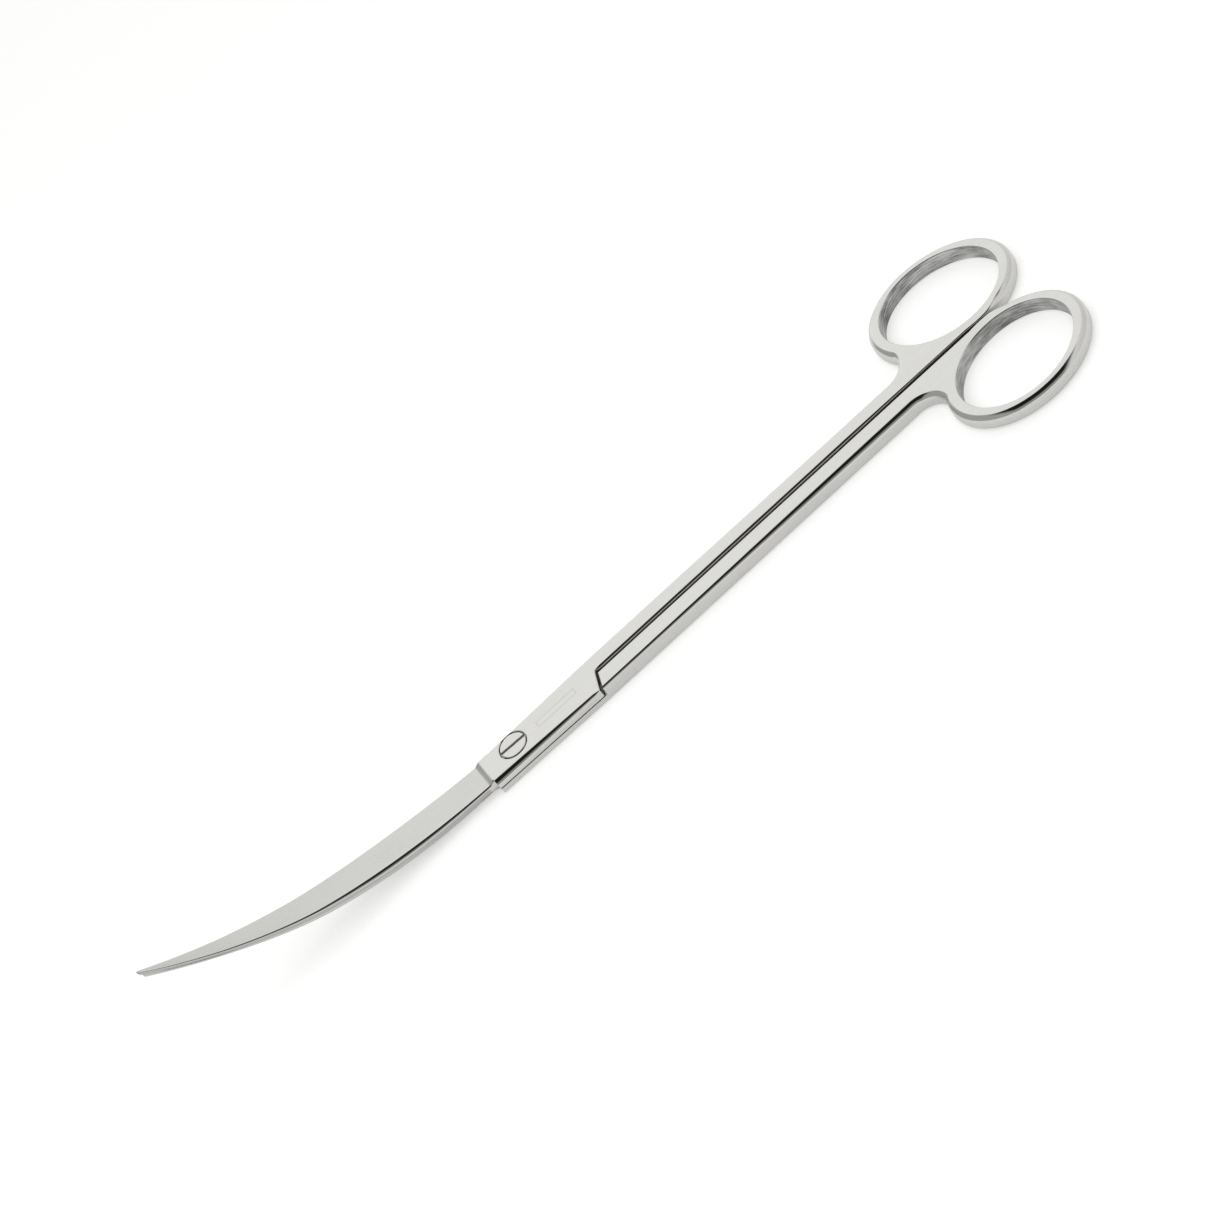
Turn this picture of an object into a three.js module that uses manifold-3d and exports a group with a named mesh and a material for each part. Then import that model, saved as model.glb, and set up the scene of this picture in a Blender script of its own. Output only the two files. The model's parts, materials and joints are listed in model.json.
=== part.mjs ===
// Long curved scissors: two forged halves crossing in a lap joint, and one slotted pivot screw.
// Millimetres. +X runs from the tips to the finger rings, +Y to the upper half's ring, +Z is up.
import * as THREE from 'three';
import { mergeVertices } from 'three/addons/utils/BufferGeometryUtils.js';
import Module from 'manifold-3d';

const wasm = await Module();
wasm.setup();

// ---- driving dimensions (modelling frame: pivot at X = 0, top faces at Z = 0) ----
const THICK = 4.3;          // full thickness of shank and ring
const UPPER_T = 2.2;        // thickness of the upper half inside the joint
const LAP_GAP = 0.3;        // clearance between the two halves in the joint and along the blades
const EDGE_R = 0.5;         // rounding of the long outer edges
const EDGE_STEPS = 2;       // facets in that rounding

const PIVOT_Y = 0.9;        // pivot centre off the middle line
const SHANK_Y = 5.35;       // outer side of a shank
const SHANK_GAP = 1.0;      // slot between the two shanks
const BOX_FRONT = -8.2;     // front end of the joint box
const BOX_FRONT_Y = 4.75;   // half width of the box at its front end
const BOX_REAR_Y = 5.35;    // half width of the box at the shoulder
const SHOULDER_OUT = 22.2;  // shoulder line, outer end
const SHOULDER_IN = 24.2;   // shoulder line, inner end beside the slot
const SHOULDER_GAP = 0.45;  // clearance across the shoulder

const RING_X = 137.8;       // finger ring centre along the tool
const RING_Y = 15.65;       // finger ring centre off the middle line
const HOLE_A = 15.2;        // half length of the finger hole
const HOLE_B = 12.8;        // half width of the finger hole
const RIM_END = 3.5;        // rim at the ends of the ring
const RIM_SIDE = 2.5;       // rim at the sides of the ring
const HOLE_TILT = -0.21;    // turn of the hole's long axis, radians
const RIM_TILT = -0.15;     // turn of the outer rim's long axis, radians
const RING_GAP = 0.3;       // clearance where the two rings meet
const FILLET_START = 114.6; // shank leaves its straight side here
const FILLET_T = 3.62;      // ring angle where the fillet lands, radians
const FILLET_OUT = 3.4;     // length of the fillet's handle along the shank
const FILLET_UP = 3.2;      // length of the fillet's handle across, on the ring side
const FILLET_LEAN = 0.3;    // lean of that handle towards the ring
const MEET_LEAD = 8;        // the slot's side runs to this far short of the ring's centre
const MEET_STEP = 0.01;     // step of the search for where the ring meets the slot, radians
const RING_SEG = 44;

const CLEAR = 1;            // how far cutting shapes run past what they cut
const LAP_REACH = 8;        // how far the lap's cut runs past the front of the box
const LAP_WIDE = 2;         // how far it runs past the sides

const BEND_R = 138.5;       // radius of the blades' upward curve
const BEND_START = 10;      // distance from the pivot where the curve begins
const TIP_X = -91.7;        // tip of the upper blade
const TIP_LAG = 0.5;        // lower tip stops this much short
const SPINE_T = 1.5;        // blade thickness along its back, at the box
const SPINE_SWELL = 0.5;    // extra thickness of the back in the first half of the blade
const SPINE_TIP_T = 0.95;   // the same at the tip
const SWELL_END = 0.8;      // share of the blade over which that extra thickness fades
const TIP_HALF = 0.4;       // half width of the blunt tip
const SPINE_Y = 3.55;       // back of the upper blade beside the box, off the middle line
const SPINE_BELLY = 0.75;   // how much further out the back swells
const SPINE_SPAN = 1.12;    // blade lengths in which the back swells and returns
const SPINE_TAPER = 0.45;   // share of the blade over which the back closes in on the tip
const SPINE_POWER = 1.45;   // how late it closes in
const CUT_Y = 4.6;          // cutting edge beside the box, off the middle line
const CUT_BELLY = 0.75;     // how much further out the cutting edge swells
const CUT_SPAN = 0.6;       // share of the blade over which it swells and returns
const CUT_POWER = 0.9;      // how late the cutting edge closes in on the tip
const EDGE_T = 0.3;         // thickness left along the cutting edge
const FACE_FALL = 0.15;     // the outer face is this much lower beside the cutting edge
const GRIND_W = 0.4;        // width of the ground bevel along the cutting edge
const GRIND_LEAD = 0.1;     // share of the blade over which the bevel starts
const GRIND_FADE = 0.5;     // share of its width lost at the tip
const LOWER_SETBACK = 1.2;  // lower cutting edge sits this far behind the upper blade's back
const BACK_CHAMFER = 0.28;  // broken corner along the back
const CROWN = 0.1;          // slight rise of the outer face in its middle
const RAMP_LENGTH = 1.2;    // slope from the box down to the blade
const RAMP_ROOT = 0.1;      // how far inside the box that slope starts
const ROOT_DEPTH = 2.5;     // length of blade sunk into the box
const ROOT_INSET = 0.05;    // the sunk part is this much thinner than the box
const BLADE_STATIONS = 26;
const BLADE_CROWD = 0.94;   // crowds the stations towards the tip, radians

const HEAD_R = 3.35;        // screw head radius
const HEAD_T = 1.0;         // screw head height
const BODY_R = 2.0;         // screw body radius
const SCREW_GAP = 0.28;     // clearance around the screw
const SLOT_W = 0.85;        // driver slot width
const SLOT_D = 0.45;        // driver slot depth
const SLOT_TURN = -0.05;    // slot direction, radians
const RECESS_D = 1.3;       // depth of the recess for the head
const NECK_LAP = 0.2;       // overlap of the screw's body and its head
const ROUND_SEG = 40;

// ---- helpers ----
function weld(geometry) {
  const g = geometry.index ? geometry.toNonIndexed() : geometry.clone();
  g.deleteAttribute('normal');
  g.deleteAttribute('uv');
  return mergeVertices(g, 1e-5);
}

function toSolid(geometry) {
  const g = weld(geometry);
  const vertProperties = new Float32Array(g.attributes.position.array);
  const triVerts = new Uint32Array(g.index.array);
  return new wasm.Manifold(new wasm.Mesh({ numProp: 3, vertProperties, triVerts }));
}

function toGeometry(solid) {
  const mesh = solid.getMesh();
  const g = new THREE.BufferGeometry();
  g.setAttribute('position', new THREE.BufferAttribute(new Float32Array(mesh.vertProperties), 3));
  g.setIndex(new THREE.BufferAttribute(new Uint32Array(mesh.triVerts), 1));
  g.computeVertexNormals();
  return g;
}

function steel(color, roughness) {
  return new THREE.MeshStandardMaterial({ color, roughness, metalness: 1.0 });
}

// Prism between two heights over a polygon given as [x, y] pairs.
function prism(points, zLow, zHigh) {
  const shape = new THREE.Shape(points.map(([x, y]) => new THREE.Vector2(x, y)));
  const g = new THREE.ExtrudeGeometry(shape, { depth: zHigh - zLow, bevelEnabled: false });
  g.translate(0, 0, zLow);
  return g;
}

function drum(radius, zLow, zHigh) {
  const g = new THREE.CylinderGeometry(radius, radius, zHigh - zLow, ROUND_SEG);
  g.rotateX(Math.PI / 2);
  g.translate(0, PIVOT_Y, (zLow + zHigh) / 2);
  return g;
}

// Height of the blades' meeting surface above the joint, by distance from the pivot.
function bendRise(x, y) {
  const run = Math.max(0, Math.hypot(x, y - PIVOT_Y) - BEND_START);
  return BEND_R - Math.sqrt(BEND_R * BEND_R - run * run);
}

// ---- flat outline of one half with its ring on the +Y side ----
function halfOutline() {
  const a = HOLE_A + RIM_END;
  const b = HOLE_B + RIM_SIDE;
  const slot = SHANK_GAP / 2;
  const cos = Math.cos(RIM_TILT);
  const sin = Math.sin(RIM_TILT);
  const onRing = (t) => new THREE.Vector2(
    RING_X + a * Math.cos(t) * cos - b * Math.sin(t) * sin,
    RING_Y + a * Math.cos(t) * sin + b * Math.sin(t) * cos,
  );
  const shape = new THREE.Shape();
  shape.moveTo(BOX_FRONT, -BOX_FRONT_Y);
  shape.lineTo(SHOULDER_OUT, -BOX_REAR_Y);
  shape.lineTo(SHOULDER_IN, slot);
  shape.lineTo(RING_X - MEET_LEAD, slot);
  let meet = 1.5 * Math.PI;
  while (onRing(meet).y < slot) {
    meet -= MEET_STEP;
  }
  const sweep = 2 * Math.PI + FILLET_T - meet;
  for (let i = 0; i <= RING_SEG; i += 1) {
    const p = onRing(meet + (sweep * i) / RING_SEG);
    shape.lineTo(p.x, Math.max(p.y, RING_GAP / 2));
  }
  const land = onRing(FILLET_T);
  shape.bezierCurveTo(
    land.x + FILLET_LEAN, land.y - FILLET_UP,
    FILLET_START + FILLET_OUT, SHANK_Y,
    FILLET_START, SHANK_Y,
  );
  shape.lineTo(SHOULDER_OUT, SHANK_Y);
  shape.lineTo(BOX_FRONT, BOX_FRONT_Y);
  shape.closePath();
  const hole = new THREE.Path();
  hole.absellipse(RING_X, RING_Y, HOLE_A, HOLE_B, 0, 2 * Math.PI, true, HOLE_TILT);
  shape.holes.push(hole);
  return shape;
}

// Full thickness slab of that outline with rounded long edges.
function halfSlab() {
  const g = new THREE.ExtrudeGeometry(halfOutline(), {
    depth: THICK - 2 * EDGE_R,
    bevelEnabled: true,
    bevelThickness: EDGE_R,
    bevelSize: EDGE_R,
    bevelOffset: -EDGE_R,
    bevelSegments: EDGE_STEPS,
    curveSegments: RING_SEG,
  });
  g.translate(0, 0, EDGE_R - THICK);
  return g;
}

// Everything the other half needs inside the joint, measured for the +Y half seen from above.
function jointCutter(zLow, zHigh) {
  const far = SHANK_Y + LAP_WIDE;
  const front = BOX_FRONT - LAP_REACH;
  const slope = (SHOULDER_IN - SHOULDER_OUT) / (SHANK_GAP / 2 + BOX_REAR_Y);
  const atY = (y) => SHOULDER_IN + SHOULDER_GAP + slope * (SHANK_GAP / 2 - y);
  return prism([
    [front, -far],
    [SHOULDER_IN + SHOULDER_GAP, -far],
    [SHOULDER_IN + SHOULDER_GAP, 0],
    [atY(far), far],
    [front, far],
  ], zLow, zHigh);
}

// ---- blades ----
// Edge positions across the tool, from the box (u = 0) to the tip (u = 1).
function spineEdge(u) {
  const belly = SPINE_Y + SPINE_BELLY * Math.sin(Math.PI * Math.min(1, u / SPINE_SPAN)) ** 2;
  const taper = 1 - (Math.max(0, u - 1 + SPINE_TAPER) / SPINE_TAPER) ** SPINE_POWER;
  return -(belly - TIP_HALF) * taper - TIP_HALF;
}

function cutEdge(u) {
  const belly = CUT_Y + CUT_BELLY * Math.sin(Math.PI * Math.min(1, u / CUT_SPAN));
  return (belly - TIP_HALF) * (1 - u ** 2) ** CUT_POWER + TIP_HALF;
}

function spineThickness(u) {
  const swell = SPINE_SWELL * Math.sin(Math.PI * Math.min(1, u / SWELL_END));
  return SPINE_T + (SPINE_TIP_T - SPINE_T) * u + swell;
}

function grindWidth(u) {
  return GRIND_W * Math.min(1, u / GRIND_LEAD) * (1 - GRIND_FADE * u);
}

// One blade as a closed skin. side is +1 for the upper blade and -1 for the lower one.
function blade(side, tipX) {
  const start = BOX_FRONT + ROOT_DEPTH;
  const base = side > 0 ? -UPPER_T : -UPPER_T - LAP_GAP;
  const lapT = side > 0 ? UPPER_T : THICK - UPPER_T - LAP_GAP;
  const loops = [];
  for (let i = 0; i <= BLADE_STATIONS; i += 1) {
    const t = (i / BLADE_STATIONS) * BLADE_CROWD;
    const x = start + (tipX - start) * Math.sin(t) / Math.sin(BLADE_CROWD);
    const u = Math.min(1, Math.max(0, (BOX_FRONT - x) / (BOX_FRONT - tipX)));
    const ramp = THREE.MathUtils.smoothstep(x, BOX_FRONT - RAMP_LENGTH, BOX_FRONT + RAMP_ROOT);
    const back = (spineThickness(u) * lapT / UPPER_T) * (1 - ramp) + (lapT - ROOT_INSET) * ramp;
    const front = back - FACE_FALL * (1 - ramp) * (1 - u);
    const near = spineEdge(u) + (side < 0 ? LOWER_SETBACK * (1 - u ** 3) : 0);
    const far = cutEdge(u);
    const yBack = side > 0 ? near : far;
    const yCut = side > 0 ? far : near;
    const inward = Math.sign(yBack - yCut);
    const crest = (yBack + yCut) / 2;
    const across = [
      [yBack, 0],
      [yBack, back - BACK_CHAMFER],
      [yBack - inward * BACK_CHAMFER, back],
      [crest, (back + front) / 2 + CROWN * (1 - ramp)],
      [yCut, front],
      [yCut - inward * grindWidth(u), EDGE_T],
      [yCut - inward * grindWidth(u), 0],
      [crest, 0],
    ];
    loops.push(across.map(([y, h]) => new THREE.Vector3(x, y, base + bendRise(x, y) + side * h)));
  }
  return skin(loops);
}

// Closed skin through equal loops of points, capped at both ends.
function skin(loops) {
  const n = loops[0].length;
  const position = loops.flat().flatMap((p) => [p.x, p.y, p.z]);
  const index = [];
  for (let i = 0; i + 1 < loops.length; i += 1) {
    for (let j = 0; j < n; j += 1) {
      const a = i * n + j;
      const b = i * n + ((j + 1) % n);
      index.push(a, b, a + n, b, b + n, a + n);
    }
  }
  const last = (loops.length - 1) * n;
  for (let j = 1; j + 1 < n; j += 1) {
    index.push(0, j + 1, j);
    index.push(last, last + j, last + j + 1);
  }
  const g = new THREE.BufferGeometry();
  g.setAttribute('position', new THREE.Float32BufferAttribute(position, 3));
  g.setIndex(index);
  return facingOut(g);
}

// Turn the triangles round if the skin came out inside out.
function facingOut(g) {
  const p = g.attributes.position;
  const idx = g.index.array;
  const a = new THREE.Vector3();
  const b = new THREE.Vector3();
  const c = new THREE.Vector3();
  let volume = 0;
  for (let i = 0; i < idx.length; i += 3) {
    a.fromBufferAttribute(p, idx[i]);
    b.fromBufferAttribute(p, idx[i + 1]);
    c.fromBufferAttribute(p, idx[i + 2]);
    volume += a.dot(b.cross(c));
  }
  if (volume < 0) {
    for (let i = 0; i < idx.length; i += 3) {
      const keep = idx[i];
      idx[i] = idx[i + 1];
      idx[i + 1] = keep;
    }
  }
  return g;
}

// ---- the three pieces ----
function upperHalf() {
  const slab = toSolid(halfSlab());
  const lap = toSolid(jointCutter(-THICK - CLEAR, -UPPER_T));
  const recess = toSolid(drum(HEAD_R + SCREW_GAP, -RECESS_D, CLEAR));
  const bore = toSolid(drum(BODY_R + SCREW_GAP, -THICK, CLEAR));
  const arm = toSolid(blade(1, TIP_X));
  return toGeometry(slab.subtract(lap).add(arm).subtract(recess).subtract(bore));
}

function lowerHalf() {
  const slab = toSolid(halfSlab()).mirror([0, 1, 0]);
  const cutter = toSolid(jointCutter(-UPPER_T - LAP_GAP, CLEAR)).mirror([0, 1, 0]);
  const bore = toSolid(drum(BODY_R + SCREW_GAP, -THICK - CLEAR, CLEAR));
  const arm = toSolid(blade(-1, TIP_X + TIP_LAG));
  return toGeometry(slab.subtract(cutter).add(arm).subtract(bore));
}

function pivotScrew() {
  const head = toSolid(drum(HEAD_R, -HEAD_T, 0));
  const body = toSolid(drum(BODY_R, -THICK, -HEAD_T + NECK_LAP));
  const slot = new THREE.BoxGeometry(4 * HEAD_R, SLOT_W, 2 * SLOT_D);
  slot.rotateZ(SLOT_TURN);
  slot.translate(0, PIVOT_Y, 0);
  return toGeometry(head.add(body).subtract(toSolid(slot)));
}

function named(name, geometry, material) {
  const mesh = new THREE.Mesh(geometry, material);
  mesh.name = name;
  return mesh;
}

function build() {
  const group = new THREE.Group();
  group.name = 'curved_scissors';
  group.add(named('upper_half', upperHalf(), steel(0xcfcecb, 0.3)));
  group.add(named('lower_half', lowerHalf(), steel(0xc9c9c5, 0.3)));
  group.add(named('pivot_screw', pivotScrew(), steel(0xd2d2ce, 0.26)));
  const box = new THREE.Box3().setFromObject(group);
  const middle = box.getCenter(new THREE.Vector3());
  for (const mesh of group.children) {
    mesh.geometry.translate(-middle.x, -middle.y, -box.min.z);
  }
  return group;
}

export default build();
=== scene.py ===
"""Long curved aquascaping scissors: two steel halves shaped by forging and a slotted pivot screw.

Each half is drawn in plan, raised to full thickness with rounded edges, cut away at the lap joint
and joined to its curved blade. Lengths are in millimetres until TO_ROW puts a piece in the frame.
"""
import json
import math

import bmesh
import bpy
import numpy as np
from mathutils import Matrix, Vector


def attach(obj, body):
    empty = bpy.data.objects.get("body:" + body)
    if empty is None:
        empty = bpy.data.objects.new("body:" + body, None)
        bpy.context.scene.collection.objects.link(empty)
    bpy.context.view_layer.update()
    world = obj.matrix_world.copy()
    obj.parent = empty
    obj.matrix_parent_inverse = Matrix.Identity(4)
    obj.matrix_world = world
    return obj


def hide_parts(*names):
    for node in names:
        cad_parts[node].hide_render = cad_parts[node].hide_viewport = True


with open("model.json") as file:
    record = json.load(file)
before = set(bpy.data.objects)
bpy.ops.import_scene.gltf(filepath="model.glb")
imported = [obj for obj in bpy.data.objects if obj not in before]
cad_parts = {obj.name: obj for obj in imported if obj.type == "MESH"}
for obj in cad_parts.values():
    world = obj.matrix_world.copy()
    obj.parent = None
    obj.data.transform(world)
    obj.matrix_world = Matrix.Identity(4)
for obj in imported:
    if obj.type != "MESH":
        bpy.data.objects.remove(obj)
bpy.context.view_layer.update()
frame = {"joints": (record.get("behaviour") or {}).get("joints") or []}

# ---- driving dimensions: X from the pivot, Y from the middle line, Z from the top faces ----
# stock, lap joint, shanks, and the shoulder behind the joint block
THICK = 4.3
UPPER_T = 2.2
LAP_GAP = 0.3
PIVOT_Y = 0.9
SHANK_Y = 5.35
SHANK_GAP = 1.0
BOX_FRONT = -8.2
BOX_FRONT_Y = 4.75
BOX_REAR_Y = 5.35
SHOULDER_OUT = 22.2
SHOULDER_IN = 24.2
SHOULDER_GAP = 0.45
OUTER_CORNER_R = 0.4
INNER_CORNER_R = 0.3

# finger rings, and the fillets that lead into them
RING_X = 137.8
RING_Y = 15.65
HOLE_A = 15.2
HOLE_B = 12.8
RIM_END = 3.5
RIM_SIDE = 2.5
HOLE_TILT = -0.21
RIM_TILT = -0.15
RING_GAP = 0.3
FILLET_START = 114.6
FILLET_T = 3.62
FILLET_RING_PULL = (0.3, -3.2)
FILLET_SHANK_PULL = 3.4

# blades: the curve, then edges and thicknesses; their shares of the length run from 0 at the
# joint block to 1 at the tip
BEND_R = 138.5
BEND_START = 10.0
TIP_X = -91.7
TIP_LAG = 0.5
TIP_HALF_W = 0.4
SPINE_Y = 3.55
SPINE_BELLY = 0.75
SPINE_BELLY_END = 1.12
SPINE_SWEEP_START = 0.55
SPINE_SWEEP_POWER = 1.45
CUT_Y = 4.6
CUT_BELLY = 0.75
CUT_BELLY_END = 0.6
CUT_SWEEP_POWER = 0.9
SPINE_T = 1.5
SPINE_SWELL = 0.5
SPINE_SWELL_END = 0.8
SPINE_TIP_T = 0.95
FACE_FALL = 0.15
LOWER_SETBACK = 1.2
GRIND_W = 0.4
GRIND_START = 0.1
EDGE_T = 0.16
EDGE_BREAK = 0.1
HOLLOW = 0.1
CROWN = 0.06
PARTING = 0.16
BACK_R = 0.4
BACK_R_SWELL = 0.8
BACK_R_PEAK = 0.32
BACK_R_SPREAD = 0.25
BACK_R_LIMIT = 0.65
NOSE = 0.4
NOSE_BLUNT = 0.4
ROOT_DEPTH = 2.5
ROOT_DROP = 0.05
RAMP_LEAD = 0.1
RAMP_LENGTH = 1.7
RAMP_ZONE = 2.0

# pivot screw and its recess
HEAD_R = 3.35
HEAD_T = 1.0
HEAD_RIM_R = 0.22
HEAD_CHAMFER = 0.1
BODY_R = 2.0
BODY_CHAMFER = 0.3
SCREW_GAP = 0.28
SLOT_W = 0.85
SLOT_D = 0.45
SLOT_TURN = -0.05
RECESS_SPARE = 0.3
RECESS_CHAMFER = 0.15

# plain etched bar outline on the joint block
MARK_X = 12.5
MARK_Y = 0.2
MARK_LENGTH = 11.0
MARK_WIDTH = 1.8
MARK_LINE = 0.2

# edge roundings; a pair runs from the blade end to the ring end, SLOT_TOP_R has one for each half,
# and each of the rim's arcs goes from one lean in degrees to the next with its own radius
TOP_R = (0.8, 1.65)
SLOT_TOP_R = {1: (0.95, 0.4), -1: (0.25, 0.2)}
BOTTOM_R = 0.9
SLOT_BOTTOM_R = 0.45
RIM_ARCS = ((90, 70, 2.5), (70, 25, 1.9), (25, 0, 0.3))
RIM_BOTTOM_R = 1.5
HOLE_R = 0.28
HOLE_BOTTOM_R = 1.6 * HOLE_R
BOX_NEAR_R = (1.95, 0.8)
SHOULDER_TOP_R = 0.3
SHOULDER_CUT_R = 0.35

# where one rounding gives way to the next
BOX_SIDE_Y = 4.0
SLOT_SIDE_Y = (0.6, 2.5)
SLOT_NARROWS_X = (95, 128)
RIM_SIDE_Y = (0.4, 3.0)
RIM_OUTSIDE_X = (112, 122)
RIM_INSIDE_X = (141, 147)
SHOULDER_MARGIN = 0.4

# how far cutting shapes reach past the metal, and how finely curves are drawn
CLEAR = 1.0
CUT_SIDE = 9.0
CUT_AHEAD = 8.0
FRONT_SPARE = 5.0
ARC = 9
OUTLINE_STEP = 1.2

PIVOT = Vector(frame["joints"][0]["pos_m"])
TO_ROW = Matrix.Translation((PIVOT.x, 0, THICK / 1000)) @ Matrix.Scale(0.001, 4)


# ---- small maths ----
def smooth(value, low, high):
    """0 below low, 1 above high, and an S-curve between."""
    t = np.clip((value - low) / (high - low), 0, 1)
    return t * t * (3 - 2 * t)


def bend_rise(x, y):
    """Height of the blades' meeting surface above the joint, by distance from the pivot."""
    run = np.maximum(0, np.hypot(x, y - PIVOT_Y) - BEND_START)
    return BEND_R - np.sqrt(BEND_R**2 - run**2)


def corner(before, at, after, radius, steps=6):
    """Points of a round corner that replaces the corner at, in plan."""
    b, p, a = (np.array(q, float) for q in (before, at, after))
    u = (b - p) / np.linalg.norm(b - p)
    v = (a - p) / np.linalg.norm(a - p)
    half = math.acos(np.clip(u @ v, -1, 1)) / 2
    reach = radius / math.tan(half)
    centre = p + (u + v) / np.linalg.norm(u + v) * radius / math.sin(half)
    start, end = p + u * reach - centre, p + v * reach - centre
    turn = math.atan2(start[0] * end[1] - start[1] * end[0], start @ end)
    angles = np.linspace(0, turn, steps + 1)
    return [centre + np.array([start[0] * math.cos(t) - start[1] * math.sin(t),
                               start[0] * math.sin(t) + start[1] * math.cos(t)]) for t in angles]


def ellipse(t, a, b, tilt):
    """Point of the finger ring's ellipse at the angle t."""
    return np.array([
        RING_X + a * math.cos(t) * math.cos(tilt) - b * math.sin(t) * math.sin(tilt),
        RING_Y + a * math.cos(t) * math.sin(tilt) + b * math.sin(t) * math.cos(tilt),
    ])


def bezier(p0, p1, p2, p3, steps):
    """Points of a cubic curve, both ends included."""
    t = np.linspace(0, 1, steps + 1)[:, None]
    p0, p1, p2, p3 = (np.array(p, float) for p in (p0, p1, p2, p3))
    return list((1 - t)**3 * p0 + 3 * (1 - t)**2 * t * p1
                + 3 * (1 - t) * t**2 * p2 + t**3 * p3)


def refine(points, step):
    """The closed outline with long straight sides split up."""
    out = []
    for p, q in zip(points, points[1:] + points[:1]):
        n = max(1, int(np.linalg.norm(q - p) / step))
        out += [p + (q - p) * k / n for k in range(n)]
    return np.array(out)


# ---- plan of one half, with its ring on the +Y side ----
def half_outline():
    """Closed outline: block, shoulder, slot side, ring, fillet and outer side of the shank."""
    slot = SHANK_GAP / 2
    a, b = HOLE_A + RIM_END, HOLE_B + RIM_SIDE
    taper = (BOX_REAR_Y - BOX_FRONT_Y) / (SHOULDER_OUT - BOX_FRONT)
    near_front = (BOX_FRONT - FRONT_SPARE, -BOX_FRONT_Y + taper * FRONT_SPARE)
    near_rear = (SHOULDER_OUT, -BOX_REAR_Y)
    inner = (SHOULDER_IN, slot)
    far_front = (near_front[0], -near_front[1])
    points = [np.array(near_front)]
    points += corner(near_front, near_rear, inner, OUTER_CORNER_R)
    points += corner(near_rear, inner, (RING_X, slot), INNER_CORNER_R)
    meet = 1.5 * math.pi
    while ellipse(meet, a, b, RIM_TILT)[1] < slot:
        meet -= 0.01
    for t in np.linspace(meet, 2 * math.pi + FILLET_T, 150):
        p = ellipse(t, a, b, RIM_TILT)
        points.append(np.array([p[0], max(p[1], RING_GAP / 2)]))
    land = points[-1]
    points += bezier(land, land + FILLET_RING_PULL, (FILLET_START + FILLET_SHANK_PULL, SHANK_Y),
                     (FILLET_START, SHANK_Y), 20)[1:]
    points.append(np.array([SHOULDER_OUT, SHANK_Y]))
    points.append(np.array(far_front))
    return refine(points, OUTLINE_STEP)


def hole_outline():
    angles = np.linspace(2 * math.pi, 0, 160, endpoint=False)
    return np.array([ellipse(t, HOLE_A, HOLE_B, HOLE_TILT) for t in angles])


def inward(outline):
    """Unit steps into the metal at each point of a closed outline (left of its direction)."""
    before, after = np.roll(outline, 1, 0), np.roll(outline, -1, 0)
    d1, d2 = outline - before, after - outline
    n1 = np.stack([-d1[:, 1], d1[:, 0]], 1) / np.linalg.norm(d1, axis=1)[:, None]
    n2 = np.stack([-d2[:, 1], d2[:, 0]], 1) / np.linalg.norm(d2, axis=1)[:, None]
    n = n1 + n2
    n /= np.linalg.norm(n, axis=1)[:, None]
    return n / np.maximum((n * n1).sum(1), 0.6)[:, None]


def ring_share(p):
    """1 on the finger ring's outer wall and 0 on the shank, blended through fillet and slot."""
    x, y = p[:, 0], p[:, 1]
    outside = smooth(y, *RIM_SIDE_Y)
    return smooth(x, *RIM_OUTSIDE_X) * outside + smooth(x, *RIM_INSIDE_X) * (1 - outside)


def top_radius(p, side):
    """Rounding of the top edge at a point of the half's outline, away from the ring."""
    x, y = p[:, 0], p[:, 1]
    in_slot = (1 - smooth(y, *SLOT_SIDE_Y)) * (y > 0) * (x > SHOULDER_IN)
    slot_start, slot_end = SLOT_TOP_R[side]
    slot_r = slot_start + (slot_end - slot_start) * smooth(x, *SLOT_NARROWS_X)
    shank_r = TOP_R[0] + (TOP_R[1] - TOP_R[0]) * smooth(x, SHOULDER_OUT, FILLET_START)
    radius = slot_r * in_slot + shank_r * (1 - in_slot)
    front, rear = BOX_NEAR_R
    along_box = np.clip((x - BOX_FRONT) / (SHOULDER_OUT - BOX_FRONT), 0, 1)
    radius = np.where(y < -BOX_SIDE_Y, front + (rear - front) * along_box, radius)
    shoulder = ((x > SHOULDER_OUT - SHOULDER_MARGIN) & (x < SHOULDER_IN + SHOULDER_MARGIN)
                & (y < SLOT_SIDE_Y[0]))
    return np.where(shoulder, SHOULDER_TOP_R, radius)


def bottom_radius(p):
    """Rounding of the bottom edge at a point of the half's outline."""
    y = p[:, 1]
    radius = BOTTOM_R + (RIM_BOTTOM_R - BOTTOM_R) * ring_share(p)
    return np.where((y > 0) & (y < SHANK_GAP), SLOT_BOTTOM_R, radius)


# ---- mesh building ----
def rim_profile(lean):
    """Inset and rise, from the bulging wall's widest line to where it leans at this angle."""
    inset = rise = 0
    for start, end, radius in RIM_ARCS:
        a = math.radians(start)
        b = max(math.radians(end), min(lean, a))
        inset += radius * (math.sin(a) - math.sin(b))
        rise += radius * (math.cos(b) - math.cos(a))
    return inset, rise


def wall_rows(outline, r_top, r_bottom, bulge=0):
    """Rows of points up a wall, from the bottom face's edge to the top face's edge."""
    step = inward(outline)
    rows = []
    for k in range(ARC + 1):
        a = math.pi / 2 * k / ARC
        xy = outline + step * (r_bottom * (1 - math.sin(a)))[:, None]
        rows.append(np.column_stack([xy, -THICK + r_bottom * (1 - math.cos(a))]))
    for k in range(ARC + 1):
        a = math.pi / 2 * k / ARC
        inset, rise = rim_profile(math.pi / 2 - a)
        drop = rim_profile(0)[1] - rise
        inset = inset * bulge + r_top * (1 - math.cos(a)) * (1 - bulge)
        drop = drop * bulge + r_top * (1 - math.sin(a)) * (1 - bulge)
        rows.append(np.column_stack([outline + step * inset[:, None], -drop]))
    return rows


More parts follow.
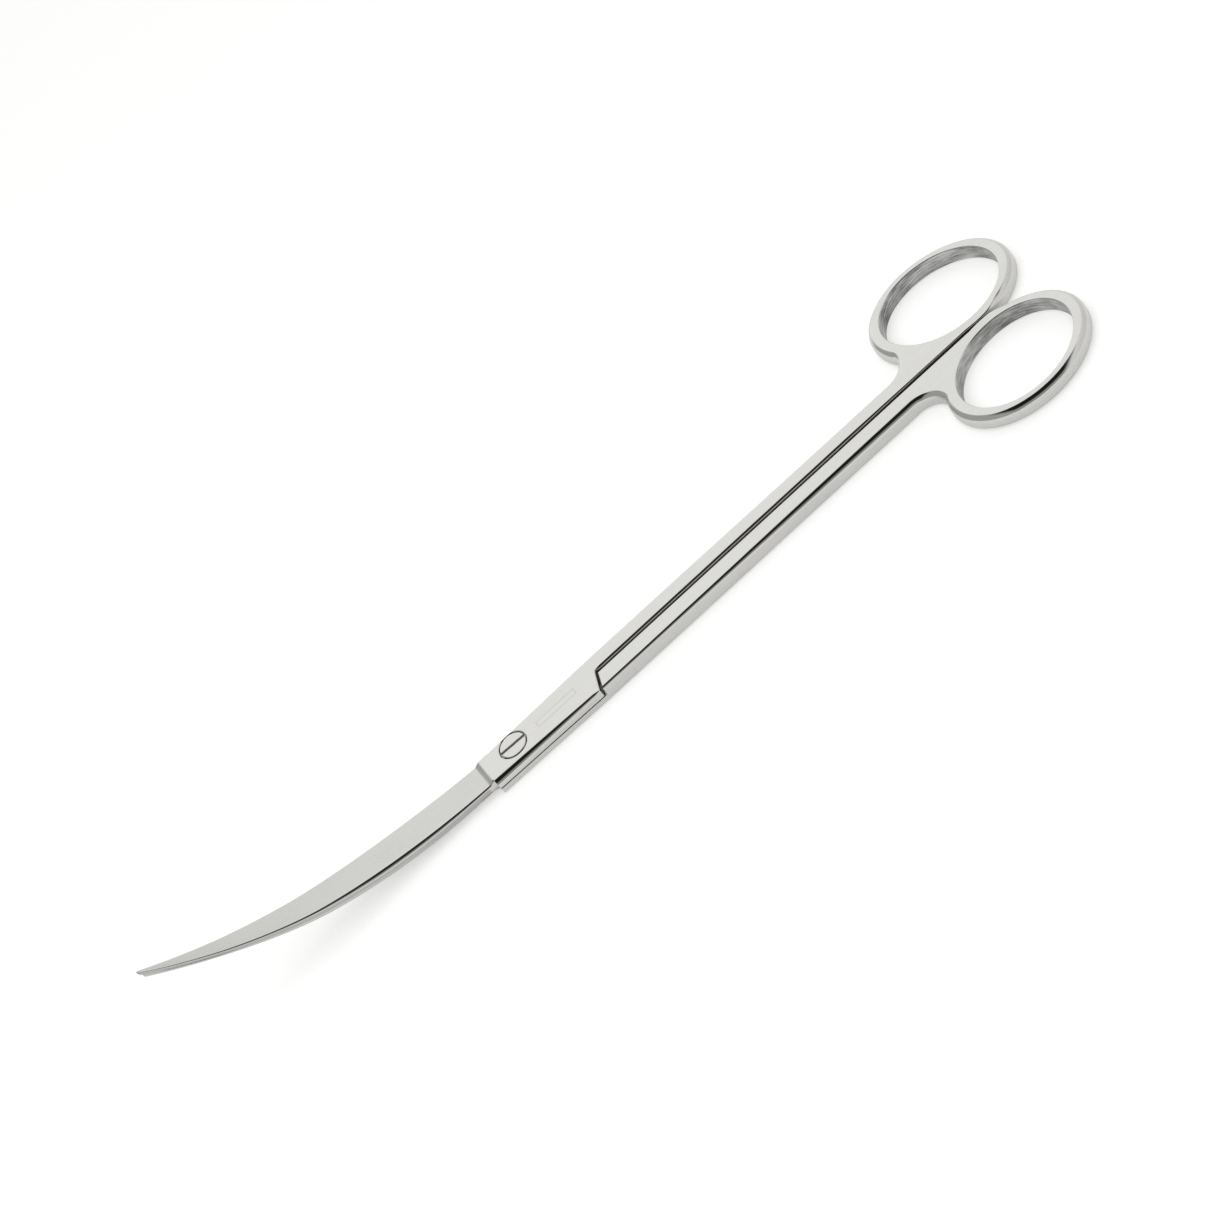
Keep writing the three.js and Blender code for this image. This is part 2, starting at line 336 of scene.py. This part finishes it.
def add_rows(bm, rows, closed_ends=False):
    """Quads between rows of points that each close on themselves."""
    verts = [[bm.verts.new(p) for p in row] for row in rows]
    n = len(rows[0])
    for low, high in zip(verts, verts[1:]):
        for j in range(n):
            bm.faces.new((low[j], low[(j + 1) % n], high[(j + 1) % n], high[j]))
    if closed_ends:
        bm.faces.new(list(reversed(verts[0])))
        bm.faces.new(verts[-1])
    return verts


def fill_flat(bm, loops):
    """Triangles over the flat area that the loops of vertices bound."""
    edges = [bm.edges.get((loop[j], loop[(j + 1) % len(loop)]))
             for loop in loops for j in range(len(loop))]
    bmesh.ops.triangle_fill(bm, use_beauty=True, use_dissolve=False, edges=edges)


def new_object(name, bm):
    bmesh.ops.recalc_face_normals(bm, faces=bm.faces)
    mesh = bpy.data.meshes.new(name)
    bm.to_mesh(mesh)
    bm.free()
    ob = bpy.data.objects.new(name, mesh)
    bpy.context.scene.collection.objects.link(ob)
    return ob


def slab(side):
    """One half's shank, ring and joint block at full thickness, with rounded edges."""
    bm = bmesh.new()
    outline, hole = half_outline(), hole_outline()
    share = ring_share(outline)
    outer = add_rows(bm, wall_rows(
        outline, top_radius(outline, side), bottom_radius(outline), share))
    ones = np.ones(len(hole))
    inner = add_rows(bm, wall_rows(hole, HOLE_R * ones, HOLE_BOTTOM_R * ones))
    fill_flat(bm, [outer[-1], inner[-1]])
    fill_flat(bm, [outer[0], inner[0]])
    ahead = BOX_FRONT - 2 * FRONT_SPARE
    spare = prism([(ahead, -CUT_SIDE), (BOX_FRONT, -CUT_SIDE), (BOX_FRONT, CUT_SIDE),
                   (ahead, CUT_SIDE)], -THICK - CLEAR, CLEAR)
    return combine(new_object("slab", bm), spare, "DIFFERENCE")


def prism(points, z_low, z_high):
    """Closed solid with this plan."""
    bm = bmesh.new()
    add_rows(bm, [[(x, y, z) for x, y in points] for z in (z_low, z_high)], closed_ends=True)
    return new_object("prism", bm)


def lathe(profile, steps=96):
    """Closed solid turned about the pivot axis from [radius, height] pairs, bottom to top."""
    bm = bmesh.new()
    angles = np.linspace(0, 2 * math.pi, steps, endpoint=False)
    rows = [[(r * math.cos(t), PIVOT_Y + r * math.sin(t), z) for t in angles]
            for r, z in profile]
    add_rows(bm, rows, closed_ends=True)
    return new_object("lathe", bm)


def joint_cutter(z_low, z_high):
    """What the lap joint removes; its rear wall flares at the top faces to round the shoulder."""
    far = SHANK_Y + 2 * CLEAR
    ahead = BOX_FRONT - CUT_AHEAD
    slope = (SHOULDER_IN - SHOULDER_OUT) / (SHANK_GAP / 2 + BOX_REAR_Y)
    rear = SHOULDER_IN + SHOULDER_GAP
    r = SHOULDER_CUT_R
    flare = np.linspace(-r, 0, 6) if z_high > 0 else ()
    rows = []
    for z in (z_low, *flare, z_high):
        at = rear + r - math.sqrt(r**2 - min(max(z + r, 0), r)**2)
        rows.append([(x, y, z) for x, y in (
            (ahead, -far), (at, -far), (at, 0), (at + slope * (SHANK_GAP / 2 - far), far),
            (ahead, far))])
    bm = bmesh.new()
    add_rows(bm, rows, closed_ends=True)
    return new_object("cutter", bm)


def combine(ob, other, how):
    """Boolean of two objects, applied at once; the other one is used up."""
    modifier = ob.modifiers.new("cut", "BOOLEAN")
    modifier.operation = how
    modifier.solver = "EXACT"
    modifier.object = other
    graph = bpy.context.evaluated_depsgraph_get()
    made = bpy.data.meshes.new_from_object(ob.evaluated_get(graph))
    ob.modifiers.clear()
    ob.data = made
    bpy.data.objects.remove(other)
    return ob


def mirror_y(ob):
    """The object flipped to the other side of the middle line."""
    ob.data.transform(Matrix.Scale(-1, 4, (0, 1, 0)))
    ob.data.flip_normals()
    return ob


# ---- blades ----
def spine_edge(u):
    """Y of the upper blade's back edge: a slight belly, then a sweep in to the tip."""
    belly = -SPINE_Y - SPINE_BELLY * math.sin(math.pi * min(1, u / SPINE_BELLY_END))**2
    sweep = (max(0, u - SPINE_SWEEP_START) / (1 - SPINE_SWEEP_START))**SPINE_SWEEP_POWER
    return (belly + TIP_HALF_W) * (1 - sweep) - TIP_HALF_W


def cut_edge(u):
    """Y of the upper blade's cutting edge."""
    belly = CUT_Y + CUT_BELLY * math.sin(math.pi * min(1, u / CUT_BELLY_END))
    return (belly - TIP_HALF_W) * (1 - u**2)**CUT_SWEEP_POWER + TIP_HALF_W


def back_radius(u):
    """Rounding between a blade's back and its outer face: widest a third of the way along."""
    return BACK_R + BACK_R_SWELL * math.exp(-((u - BACK_R_PEAK) / BACK_R_SPREAD)**2)


def blade_section(u, ramp, side):
    """Closed loop of (y, height above the meeting surface), back first, for one station."""
    lap_t = UPPER_T if side > 0 else THICK - UPPER_T - LAP_GAP
    swell = SPINE_SWELL * math.sin(math.pi * min(1, u / SPINE_SWELL_END))
    full = SPINE_T + (SPINE_TIP_T - SPINE_T) * u + swell
    back = full * lap_t / UPPER_T * (1 - ramp) + (lap_t - ROOT_DROP) * ramp
    front = back - FACE_FALL * (1 - ramp) * (1 - u)
    near = spine_edge(u) + (LOWER_SETBACK * (1 - u**3) if side < 0 else 0)
    far = cut_edge(u)
    y_back, y_cut = (near, far) if side > 0 else (far, near)
    out = math.copysign(1, y_cut - y_back)
    grind = GRIND_W * min(1, u / GRIND_START) * (1 - 0.5 * u)
    r = min(back_radius(u), back * BACK_R_LIMIT)
    loop = [(y_back + out * PARTING, 0), (y_back, PARTING)]
    for k in range(ARC + 1):
        a = math.pi / 2 * k / ARC
        loop.append((y_back + out * r * (1 - math.cos(a)), back - r * (1 - math.sin(a))))
    y0, y1 = y_back + out * r, y_cut - out * EDGE_BREAK
    for k in range(1, 11):
        t = k / 11
        crown = CROWN * (1 - ramp) * 4 * t * (1 - t)
        loop.append((y0 + (y1 - y0) * t, back + (front - back) * t + crown))
    y2 = y_cut + out * grind
    loop += [(y1, front), (y_cut, front - EDGE_BREAK), (y2, EDGE_T), (y2, 0)]
    for k in range(1, 6):
        t = k / 6
        hollow = HOLLOW * (1 - ramp) * 4 * t * (1 - t)
        loop.append((y2 + (y_back + out * PARTING - y2) * t, hollow))
    return loop


def blade(side):
    """The curved blade of the upper (1) or lower (-1) half, rooted inside the joint block."""
    start = BOX_FRONT + ROOT_DEPTH
    tip = TIP_X + (TIP_LAG if side < 0 else 0)
    base = -UPPER_T if side > 0 else -UPPER_T - LAP_GAP
    body = start + (tip + NOSE - start) * np.linspace(0, 1, 150)
    nose = tip + NOSE * (1 - np.sin(np.linspace(0, math.pi / 2, 8)))[1:]
    rows = []
    root = np.linspace(start, BOX_FRONT - RAMP_ZONE, 24)
    for x in np.concatenate([root, body[body < BOX_FRONT - ROOT_DEPTH], nose]):
        u = min(1, max(0, (BOX_FRONT - x) / (BOX_FRONT - tip)))
        ramp = 1 - float(smooth(-x, -BOX_FRONT - RAMP_LEAD, -BOX_FRONT + RAMP_LENGTH))
        loop = np.array(blade_section(u, ramp, side))
        into_nose = max(0.0, (tip + NOSE - x) / NOSE)
        taper = math.sqrt(max(0.0, 1 - into_nose**2)) * (1 - NOSE_BLUNT) + NOSE_BLUNT
        middle = loop.mean(0)
        loop = middle + (loop - middle) * (taper, 0.5 + 0.5 * taper)
        z = base + bend_rise(x, loop[:, 0]) + side * loop[:, 1]
        rows.append(np.column_stack([np.full(len(loop), x), loop[:, 0], z]))
    bm = bmesh.new()
    add_rows(bm, rows, closed_ends=True)
    return new_object("blade", bm)


# ---- the three pieces ----
def drum(radius, z_low, z_high):
    """Cylinder about the pivot axis."""
    return lathe([(radius, z_low), (radius, z_high)])


def upper_half():
    """Half on top at the joint, with the recess for the screw's head."""
    ob = combine(slab(1), joint_cutter(-THICK - CLEAR, -UPPER_T), "DIFFERENCE")
    ob = combine(ob, blade(1), "UNION")
    r = HEAD_R + SCREW_GAP
    recess = lathe([(r, -HEAD_T - RECESS_SPARE), (r, -RECESS_CHAMFER),
                    (r + RECESS_CHAMFER, 0), (r + RECESS_CHAMFER, CLEAR)])
    ob = combine(ob, recess, "DIFFERENCE")
    return combine(ob, drum(BODY_R + SCREW_GAP, -THICK, CLEAR), "DIFFERENCE")


def lower_half():
    """Half underneath at the joint, mirrored so that its ring is on the -Y side."""
    cutter = mirror_y(joint_cutter(-UPPER_T - LAP_GAP, CLEAR))
    ob = combine(mirror_y(slab(-1)), cutter, "DIFFERENCE")
    ob = combine(ob, blade(-1), "UNION")
    return combine(ob, drum(BODY_R + SCREW_GAP, -THICK - CLEAR, CLEAR), "DIFFERENCE")


def pivot_screw():
    """Flat slotted head with a rounded rim, on a plain body ending level with the underside."""
    neck = -HEAD_T
    profile = [(BODY_R - BODY_CHAMFER, -THICK), (BODY_R, -THICK + BODY_CHAMFER), (BODY_R, neck),
               (HEAD_R - HEAD_CHAMFER, neck), (HEAD_R, neck + HEAD_CHAMFER), (HEAD_R, -HEAD_RIM_R)]
    profile += [(HEAD_R - HEAD_RIM_R * (1 - math.cos(a)), HEAD_RIM_R * math.sin(a) - HEAD_RIM_R)
                for a in np.linspace(0.2, math.pi / 2, 6)]
    ob = lathe(profile, 128)
    reach = 2 * HEAD_R
    slot = prism([(-reach, -SLOT_W / 2), (reach, -SLOT_W / 2),
                  (reach, SLOT_W / 2), (-reach, SLOT_W / 2)], -SLOT_D, CLEAR)
    slot.data.transform(Matrix.Translation((0, PIVOT_Y, 0)) @ Matrix.Rotation(SLOT_TURN, 4, "Z"))
    return combine(ob, slot, "DIFFERENCE")


def smooth_shading(ob, angle):
    """Smooth normals that follow the large faces, with sharp edges above the angle in degrees."""
    mesh = ob.data
    mesh.shade_smooth()
    mesh.set_sharp_from_angle(angle=math.radians(angle))
    weigh = ob.modifiers.new("weighted", "WEIGHTED_NORMAL")
    weigh.keep_sharp = True
    weigh.weight = 100


# ---- materials ----
def make(tree, kind, inputs=None, **props):
    """A node with its properties set and each input linked or given a value."""
    node = tree.nodes.new(kind)
    for key, value in props.items():
        setattr(node, key, value)
    for key, value in (inputs or {}).items():
        if isinstance(value, bpy.types.NodeSocket):
            tree.links.new(value, node.inputs[key])
        else:
            node.inputs[key].default_value = value
    return node


def noise(tree, coords, stretch, detail=4, roughness=0.6):
    """Noise in cells of 1/stretch metres along each axis."""
    place = make(tree, "ShaderNodeMapping", {"Vector": coords, "Scale": stretch})
    found = make(tree, "ShaderNodeTexNoise", {
        "Vector": place.outputs[0], "Scale": 1.0, "Detail": detail, "Roughness": roughness,
    })
    return found.outputs["Fac"]


def ranged(tree, value, low, high, to_low, to_high, curve="LINEAR"):
    """The value carried from one range to another, held at its ends."""
    node = make(tree, "ShaderNodeMapRange", {
        "Value": value, "From Min": low, "From Max": high, "To Min": to_low, "To Max": to_high,
    }, interpolation_type=curve)
    return node.outputs["Result"]


def maths(tree, how, a, b=0.0):
    """One step of arithmetic on sockets or numbers."""
    return make(tree, "ShaderNodeMath", {0: a, 1: b}, operation=how).outputs[0]


def around_ring(tree, place):
    """Coordinates that follow a finger hole round: distance along its wall, then height."""
    x = maths(tree, "SUBTRACT", place.outputs[0], PIVOT.x + RING_X / 1000)
    y = maths(tree, "SUBTRACT", maths(tree, "ABSOLUTE", place.outputs[1]), RING_Y / 1000)
    turn = maths(tree, "MULTIPLY", maths(tree, "ARCTAN2", y, x), HOLE_A / 1000)
    slant = maths(tree, "ADD", place.outputs[2], maths(tree, "MULTIPLY", turn, 0.06))
    return make(tree, "ShaderNodeCombineXYZ", {0: turn, 1: slant}).outputs[0]


def steel(name, tint, flat_rough, edge_rough, streaks, streak_depth, marked=False, around=False):
    """Stainless steel: cloudy satin flats with fine marks, and smoother roundings.

    marked adds the etched bar on the joint block; around turns the marks to follow a finger hole.
    """
    mat = bpy.data.materials.new(name)
    mat.use_nodes = True
    tree = mat.node_tree
    bsdf = tree.nodes["Principled BSDF"]
    coords = make(tree, "ShaderNodeTexCoord").outputs["Object"]
    facing_way = make(tree, "ShaderNodeNewGeometry").outputs["Normal"]
    normal = make(tree, "ShaderNodeSeparateXYZ", {0: facing_way})
    level = maths(tree, "ABSOLUTE", normal.outputs[2])
    place = make(tree, "ShaderNodeSeparateXYZ", {0: coords})

    rounding = maths(tree, "MULTIPLY", ranged(tree, level, 0.985, 0.93, 0, 1, "SMOOTHSTEP"),
                     ranged(tree, level, 0.04, 0.15, 0, 1, "SMOOTHSTEP"))
    behind_blades = ranged(tree, place.outputs[0], PIVOT.x + (BOX_FRONT - 0.6) / 1000,
                           PIVOT.x + BOX_FRONT / 1000, 0, 1)
    rounding = maths(tree, "MULTIPLY", rounding, behind_blades)

    clouds = noise(tree, coords, (70, 140, 140), 3)
    marks = noise(tree, around_ring(tree, place) if around else coords, streaks, 5, 0.7)
    grain = noise(tree, coords, (5200, 5200, 5200), 3)
    scuffs = ranged(tree, noise(tree, coords, (350, 900, 900), 6, 0.75), 0.62, 0.7, 0, 1)

    rough = maths(tree, "ADD", ranged(tree, clouds, 0.3, 0.7, -0.04, 0.05),
                  ranged(tree, marks, 0.3, 0.7, -0.06, 0.06))
    rough = maths(tree, "ADD", rough, maths(tree, "MULTIPLY", scuffs, 0.05))
    flat = maths(tree, "ADD", rough, flat_rough)
    edge = maths(tree, "ADD", maths(tree, "MULTIPLY", rough, 0.4), edge_rough)
    mixed = make(tree, "ShaderNodeMix", {0: rounding, 2: flat, 3: edge})
    tree.links.new(mixed.outputs[0], bsdf.inputs["Roughness"])

    etched = 0.0
    if marked:
        along = maths(tree, "SUBTRACT", place.outputs[0], PIVOT.x + MARK_X / 1000)
        across = maths(tree, "SUBTRACT", place.outputs[1], MARK_Y / 1000)
        along = maths(tree, "SUBTRACT", maths(tree, "ABSOLUTE", along), MARK_LENGTH / 2000)
        across = maths(tree, "SUBTRACT", maths(tree, "ABSOLUTE", across), MARK_WIDTH / 2000)
        off_line = maths(tree, "ABSOLUTE", maths(tree, "MAXIMUM", along, across))
        etched = ranged(tree, off_line, MARK_LINE / 2000, MARK_LINE / 1000, 1, 0, "SMOOTHSTEP")
        on_top = ranged(tree, normal.outputs[2], 0.97, 0.99, 0, 1)
        etched = maths(tree, "MULTIPLY", maths(tree, "MULTIPLY", etched, on_top), 1.3)
    dark = tuple(c * (0.22 if around else 0.9) for c in tint)
    spread = 0.09 if around else 0.15
    shade = maths(tree, "ADD", maths(tree, "MULTIPLY", marks, 0.6),
                  maths(tree, "MULTIPLY", clouds, 0.4))
    shade = ranged(tree, shade, 0.5 - spread, 0.5 + spread, 0, 1)
    colour = make(tree, "ShaderNodeMix", {
        0: maths(tree, "SUBTRACT", shade, etched), 6: (*dark, 1), 7: (*tint, 1),
    }, data_type="RGBA", clamp_factor=False)
    tree.links.new(colour.outputs[2], bsdf.inputs["Base Color"])

    height = maths(tree, "ADD", maths(tree, "MULTIPLY", marks, 0.8),
                   maths(tree, "MULTIPLY", grain, 0.35))
    bump = make(tree, "ShaderNodeBump", {
        "Height": height, "Strength": streak_depth, "Distance": 0.00004,
    })
    tree.links.new(bump.outputs[0], bsdf.inputs["Normal"])
    bsdf.inputs["Metallic"].default_value = 1.0
    return mat


ALONG = (90, 2600, 2600)
satin = steel("satin_steel", (0.78, 0.775, 0.755), 0.3, 0.08, ALONG, 0.22, marked=True)
ground = steel("ground_steel", (0.72, 0.715, 0.7), 0.3, 0.2, (160, 3000, 1), 1.0, around=True)
honed = steel("honed_steel", (0.82, 0.82, 0.81), 0.2, 0.14, (3000, 300, 3000), 0.35)
blade_face = steel("blade_steel", (0.7, 0.705, 0.68), 0.3, 0.16, ALONG, 0.2)
blade_back = steel("blade_back_steel", (0.56, 0.55, 0.54), 0.28, 0.2, ALONG, 0.3)
# darker steel for the walls of the slot and the shoulder gap: its dark tint is painted shade,
# standing in for the shadow and dark reflections between the shanks
painted_shade = steel("painted_shade_wall_steel", (0.42, 0.415, 0.405), 0.38, 0.3, ALONG, 0.4)
polished = steel("polished_steel", (0.76, 0.755, 0.735), 0.1, 0.1, ALONG, 0.08)
turned = steel("screw_steel", (0.76, 0.755, 0.735), 0.27, 0.16, (160, 2400, 2400), 0.25)

# order of the finishes in each half's list; the fourth is darker steel whose tint is painted shade
# on the slot and shoulder walls
SATIN, GROUND, HONED, PAINTED_WALL_SHADE, POLISHED, BLADE_FACE, BLADE_BACK = range(7)
half_steels = [satin, ground, honed, painted_shade, polished, blade_face, blade_back]


def dress(ob, name, body, node, materials, pick=None, angle=35):
    """Names a finished piece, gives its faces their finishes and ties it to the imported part."""
    ob.name = name
    ob.data.name = name
    for mat in materials:
        ob.data.materials.append(mat)
    for face in ob.data.polygons:
        face.material_index = pick(face) if pick else 0
    ob.data.transform(TO_ROW)
    smooth_shading(ob, angle)
    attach(ob, body)
    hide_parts(node)
    return ob


def half_faces(side):
    """The rule that picks the steel for each face of one half, from where it is and how it faces.
    """
    def pick(face):
        c, n = face.center, face.normal
        from_ring = Vector((c.x - RING_X, c.y * side - RING_Y))
        inwards = from_ring.dot(Vector((n.x, n.y * side))) < 0
        if abs(n.z) < 0.5 and from_ring.length < HOLE_A + 0.6 and inwards:
            return GROUND
        if c.x < BOX_FRONT - 1 and n.z * side < -0.5:
            return HONED
        if c.x < BOX_FRONT - 0.5 and -0.97 < n.y < -0.12:
            return POLISHED
        if c.x < BOX_FRONT - 0.3 and n.z * side > 0.5:
            return BLADE_FACE
        if c.x < BOX_FRONT - 2 and abs(n.y) > 0.6:
            return BLADE_BACK
        in_slot = abs(c.y) < SHANK_GAP / 2 + 0.05 and SHOULDER_IN < c.x < RING_X + 2
        at_shoulder = abs(c.x - SHOULDER_IN) < 2.6 and n.x * n.x > 0.5
        # walls of the slot and the shoulder gap take the darker steel, whose tint is painted shade
        if abs(n.z) < 0.2 and (in_slot or at_shoulder):
            return PAINTED_WALL_SHADE
        lap_height = abs(c.z + UPPER_T + LAP_GAP / 2) < LAP_GAP
        in_lap = BOX_FRONT + 0.3 < c.x < SHOULDER_IN + 1 and lap_height
        return HONED if in_lap and abs(n.z) > 0.9 else SATIN
    return pick


dress(upper_half(), "upper_scissor_half", "upper", "upper_half",
      half_steels, half_faces(1))
dress(lower_half(), "lower_scissor_half", "lower", "lower_half",
      half_steels, half_faces(-1))
dress(pivot_screw(), "slotted_pivot_screw", "lower", "pivot_screw",
      [turned], angle=30)


# ---- floor, surroundings and light ----
FLOOR_REACH = 6.0
FLOOR_DROP = 0.0001

# the dark zone's angle about X, from +Y over the top towards -Y, and its half-width along X
DARK_START = (80, 95)
DARK_END = (168, 178)
DARK_EASES = (134, 152)
DARK_LEVEL = (0.012, 0.3)
DARK_WIDTH = (0.46, 0.68)

KEY_PLACE = (-0.2, -0.4, 1.1)
KEY_SIZE = 1.6
KEY_WATTS = 11


def studio_floor():
    """Pale matt floor, lifted for camera rays and a little for reflections."""
    mesh = bpy.data.meshes.new("studio_floor")
    r = FLOOR_REACH
    mesh.from_pydata([(-r, -r, 0), (r, -r, 0), (r, r, 0), (-r, r, 0)], [], [(0, 1, 2, 3)])
    ob = bpy.data.objects.new("studio_floor", mesh)
    ob.location.z = -FLOOR_DROP
    bpy.context.scene.collection.objects.link(ob)
    mat = bpy.data.materials.new("studio_floor")
    mat.use_nodes = True
    tree = mat.node_tree
    bsdf = tree.nodes["Principled BSDF"]
    bsdf.inputs["Base Color"].default_value = (0.62, 0.62, 0.615, 1)
    bsdf.inputs["Roughness"].default_value = 0.9
    bsdf.inputs["Emission Color"].default_value = (1, 1, 1, 1)
    path = make(tree, "ShaderNodeLightPath").outputs
    seen = maths(tree, "MULTIPLY", path["Is Camera Ray"], 0.45)
    mirrored = maths(tree, "MULTIPLY", path["Is Glossy Ray"], 0.2)
    tree.links.new(maths(tree, "ADD", seen, mirrored), bsdf.inputs["Emission Strength"])
    mesh.materials.append(mat)


def studio_world():
    """Soft white surroundings, plain to the camera, with a dark zone from overhead down to -Y.

    Edges that face -Y mirror the zone, which gives the black bands of the photograph.
    """
    world = bpy.data.worlds.new("studio")
    bpy.context.scene.world = world
    world.use_nodes = True
    tree = world.node_tree
    direction = make(tree, "ShaderNodeTexCoord").outputs["Generated"]
    x, y, z = make(tree, "ShaderNodeSeparateXYZ", {0: direction}).outputs
    over = maths(tree, "ARCTAN2", z, y)
    start = ranged(tree, over, *map(math.radians, DARK_START), 0, 1, "SMOOTHSTEP")
    end = ranged(tree, over, *map(math.radians, DARK_END), 1, 0, "SMOOTHSTEP")
    width = ranged(tree, maths(tree, "ABSOLUTE", x), *DARK_WIDTH, 1, 0, "SMOOTHSTEP")
    shade = ranged(tree, over, *map(math.radians, DARK_EASES), *DARK_LEVEL, "SMOOTHSTEP")
    dark = maths(tree, "MULTIPLY", maths(tree, "MULTIPLY", start, end), width)
    fade_left = ranged(tree, x, -0.6, -0.2, 0.4, 1.0, "SMOOTHSTEP")
    fade_right = ranged(tree, x, 0.1, 0.9, 1.0, 0.7)
    bright = maths(tree, "MULTIPLY", fade_left, fade_right)
    level = make(tree, "ShaderNodeMix", {0: dark, 2: bright, 3: shade})
    path = make(tree, "ShaderNodeLightPath").outputs["Is Camera Ray"]
    plain = make(tree, "ShaderNodeMix", {0: path, 2: level.outputs[0], 3: 0.95})
    sky = tree.nodes["Background"]
    sky.inputs["Color"].default_value = (1, 1, 0.99, 1)
    tree.links.new(plain.outputs[0], sky.inputs["Strength"])


def soft_key():
    """Large soft lamp above the near side, left out of reflections."""
    light = bpy.data.lights.new("key", "AREA")
    light.shape = "DISK"
    light.size = KEY_SIZE
    light.energy = KEY_WATTS
    ob = bpy.data.objects.new("key", light)
    place = Vector(KEY_PLACE)
    ob.location = place
    ob.rotation_euler = place.to_track_quat("Z", "Y").to_euler()
    ob.visible_camera = False
    ob.visible_glossy = False
    bpy.context.scene.collection.objects.link(ob)


# ---- camera: turned about the pivot, then slid across its own picture plane ----
VIEW_TURN = math.radians(-1.34)
VIEW_HEIGHT = math.radians(40.33)
VIEW_ROLL = math.radians(41.68)
VIEW_DISTANCE = 716.9
SLIDE_RIGHT = 20.361
SLIDE_UP = 30.674
LENS = 96.84


def look_camera():
    """The camera at the photograph's viewing angle; distances in millimetres from the pivot."""
    r = Vector((math.cos(VIEW_TURN), math.sin(VIEW_TURN), 0))
    back = Vector((math.sin(VIEW_TURN) * math.cos(VIEW_HEIGHT),
                   -math.cos(VIEW_TURN) * math.cos(VIEW_HEIGHT), math.sin(VIEW_HEIGHT)))
    u = back.cross(r)
    right = r * math.cos(VIEW_ROLL) - u * math.sin(VIEW_ROLL)
    up = r * math.sin(VIEW_ROLL) + u * math.cos(VIEW_ROLL)
    place = back * VIEW_DISTANCE + right * SLIDE_RIGHT + up * SLIDE_UP
    data = bpy.data.cameras.new("view")
    data.lens = LENS
    data.clip_start = 0.01
    ob = bpy.data.objects.new("view", data)
    turn = Matrix((right, up, back)).transposed().to_4x4()
    ob.matrix_world = Matrix.Translation(TO_ROW @ place) @ turn
    bpy.context.scene.collection.objects.link(ob)
    bpy.context.scene.camera = ob


studio_floor()
studio_world()
soft_key()
look_camera()
bpy.context.scene.view_settings.view_transform = "Standard"

bpy.context.view_layer.update()
